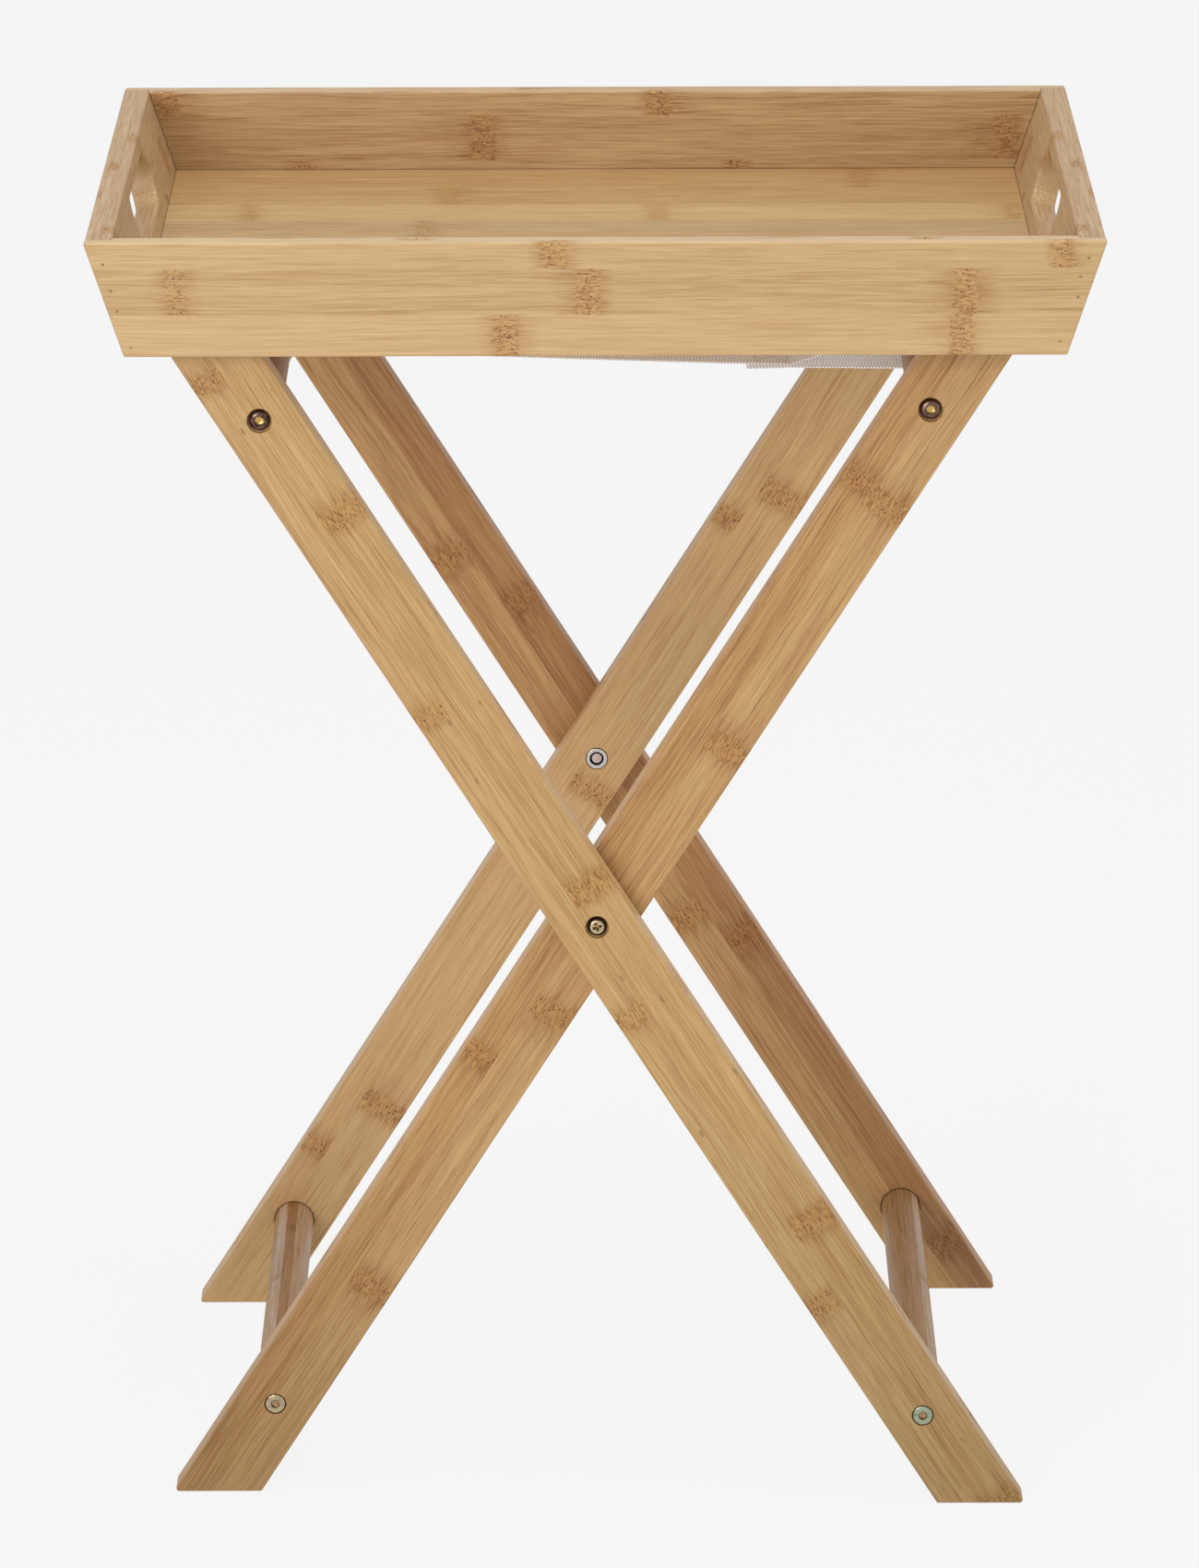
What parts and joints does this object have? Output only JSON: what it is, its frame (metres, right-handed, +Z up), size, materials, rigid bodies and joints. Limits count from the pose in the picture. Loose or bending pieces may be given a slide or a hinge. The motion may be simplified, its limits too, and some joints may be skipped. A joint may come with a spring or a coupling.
{
  "type": "folding tray table",
  "caption": "Flared rectangular serving tray with finger slots, resting on an X-shaped folding stand of flat board legs, round dowels and a webbing strap.",
  "frame": {"origin": "on the floor, under the middle of the table", "axes": "+X to the right along the tray's long side, +Y to the rear along the pivot bolts, +Z up"},
  "size_m": [0.525, 0.39, 0.7],
  "materials": {
    "bamboo_board": "clear satin lacquer on laminated bamboo",
    "bamboo_leg": "clear satin lacquer on laminated bamboo",
    "dowel_wood": "satin",
    "steel_brad": "dull",
    "bronze_bolt": "dark bronzed plating",
    "zinc_bolt": "yellow-passivated zinc plating",
    "brass_insert": "plain",
    "steel_washer": "plain zinc",
    "webbing": "woven herringbone webbing"
  },
  "bodies": {
    "frame_a": {"frame_a_leg_front": "bamboo_leg", "frame_a_leg_rear": "bamboo_leg", "frame_a_dowel_top": "dowel_wood", "frame_a_dowel_bottom": "dowel_wood", "frame_a_bolt_top_front": "bronze_bolt", "frame_a_bolt_bottom_front": "zinc_bolt", "frame_a_insert_top_front": "brass_insert", "frame_a_insert_bottom_front": "brass_insert", "frame_a_bolt_top_rear": "bronze_bolt", "frame_a_bolt_bottom_rear": "zinc_bolt", "frame_a_insert_top_rear": "brass_insert", "frame_a_insert_bottom_rear": "brass_insert", "pivot_bolt_front": "bronze_bolt", "pivot_nut_front": "zinc_bolt", "pivot_washer_front": "steel_washer", "pivot_bolt_rear": "bronze_bolt", "pivot_nut_rear": "zinc_bolt", "pivot_washer_rear": "steel_washer", "strap_webbing": "webbing"},
    "frame_b": {"frame_b_leg_front": "bamboo_leg", "frame_b_leg_rear": "bamboo_leg", "frame_b_dowel_top": "dowel_wood", "frame_b_dowel_bottom": "dowel_wood", "frame_b_bolt_top_front": "bronze_bolt", "frame_b_bolt_bottom_front": "zinc_bolt", "frame_b_insert_top_front": "brass_insert", "frame_b_insert_bottom_front": "brass_insert", "frame_b_bolt_top_rear": "bronze_bolt", "frame_b_bolt_bottom_rear": "zinc_bolt", "frame_b_insert_top_rear": "brass_insert", "frame_b_insert_bottom_rear": "brass_insert"},
    "tray": {"tray_front_board": "bamboo_board", "tray_back_board": "bamboo_board", "tray_left_end": "bamboo_board", "tray_right_end": "bamboo_board", "tray_floor": "bamboo_board", "tray_brad_front_l1": "steel_brad", "tray_brad_front_l2": "steel_brad", "tray_brad_front_l3": "steel_brad", "tray_brad_front_l4": "steel_brad", "tray_brad_front_r1": "steel_brad", "tray_brad_front_r2": "steel_brad", "tray_brad_front_r3": "steel_brad", "tray_brad_front_r4": "steel_brad", "tray_brad_rear_l1": "steel_brad", "tray_brad_rear_l2": "steel_brad", "tray_brad_rear_l3": "steel_brad", "tray_brad_rear_l4": "steel_brad", "tray_brad_rear_r1": "steel_brad", "tray_brad_rear_r2": "steel_brad", "tray_brad_rear_r3": "steel_brad", "tray_brad_rear_r4": "steel_brad"}
  },
  "joints": [
    {"name": "fold_stand", "type": "hinge", "parent": "frame_a", "child": "frame_b", "pos_m": [0, 0, 0.32585], "axis": [0, -1, 0], "range_deg": [0, 58], "deforming": ["strap_webbing"]},
    {"name": "tray_lift", "type": "slide", "parent": "frame_a", "child": "tray", "axis": [0, 0, 1], "range_m": [0, 0.305]}
  ],
  "couplings": [
    {"joint": "tray_lift", "follows": "fold_stand", "m_per_rad": 0.3}
  ]
}
